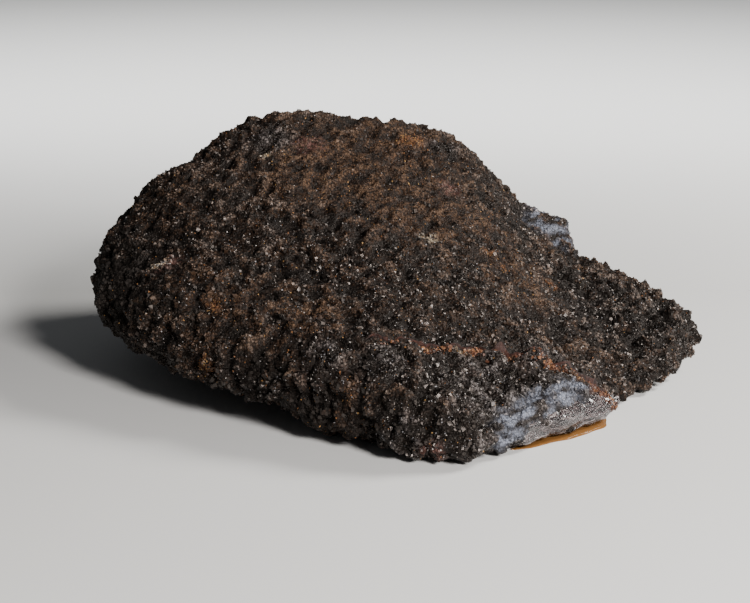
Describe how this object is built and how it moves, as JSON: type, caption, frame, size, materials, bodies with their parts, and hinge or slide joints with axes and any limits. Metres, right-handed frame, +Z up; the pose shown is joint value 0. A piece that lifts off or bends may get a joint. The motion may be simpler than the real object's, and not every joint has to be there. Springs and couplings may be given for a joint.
{
  "type": "barbecued roast",
  "caption": "Whole smoked roast of meat in a dark pepper bark, humped at the back and thin at one side, with a first slice just started; rests on its flat underside.",
  "frame": {"origin": "middle of the base, at the height of the surface it rests on", "axes": "+Z up, +X towards the thin right lobe, +Y towards the high back, away from the side where a slice is started"},
  "size_m": [0.3112, 0.3066, 0.1159],
  "materials": {
    "bark": "rough dark crust with a slight greasy sheen"
  },
  "bodies": {
    "root": {"roast": "bark"}
  },
  "joints": []
}
